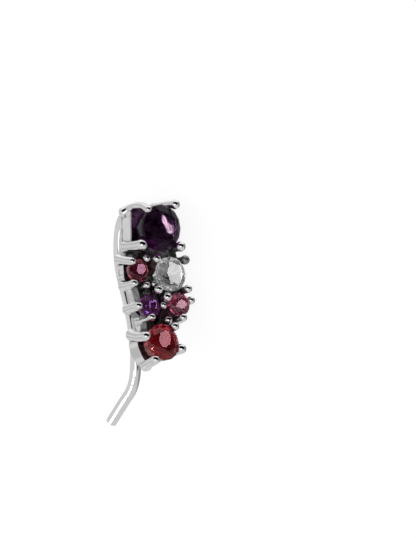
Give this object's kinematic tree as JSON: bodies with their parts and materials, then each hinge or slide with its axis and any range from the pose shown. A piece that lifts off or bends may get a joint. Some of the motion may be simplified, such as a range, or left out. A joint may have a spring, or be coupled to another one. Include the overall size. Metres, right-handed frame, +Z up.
{
  "type": "cluster earring",
  "caption": "Climber earring: a cluster of round faceted stones in claw baskets on a soldered silver back, with a bent ear wire behind.",
  "frame": {"origin": "on the resting surface below the middle of the whole earring, as it lies on its right side and ear wire", "axes": "+Z up from the resting surface, +Y along the cluster towards the largest stone, +X towards the side that the stones face"},
  "size_m": [0.0096, 0.0188, 0.0067],
  "materials": {
    "silver": "polished sterling silver, darkened deep between the baskets",
    "amethyst_dark": "faceted, very dark purple",
    "garnet_crimson": "faceted, dark crimson",
    "topaz_clear": "faceted, colourless",
    "amethyst_violet": "faceted, violet",
    "garnet_pink": "faceted, raspberry pink",
    "garnet_red": "faceted, red"
  },
  "bodies": {
    "root": {"silver_setting": "silver", "amethyst_large": "amethyst_dark", "garnet_small": "garnet_crimson", "topaz_white": "topaz_clear", "amethyst_small": "amethyst_violet", "pink_stone": "garnet_pink", "garnet_red": "garnet_red"}
  },
  "joints": []
}
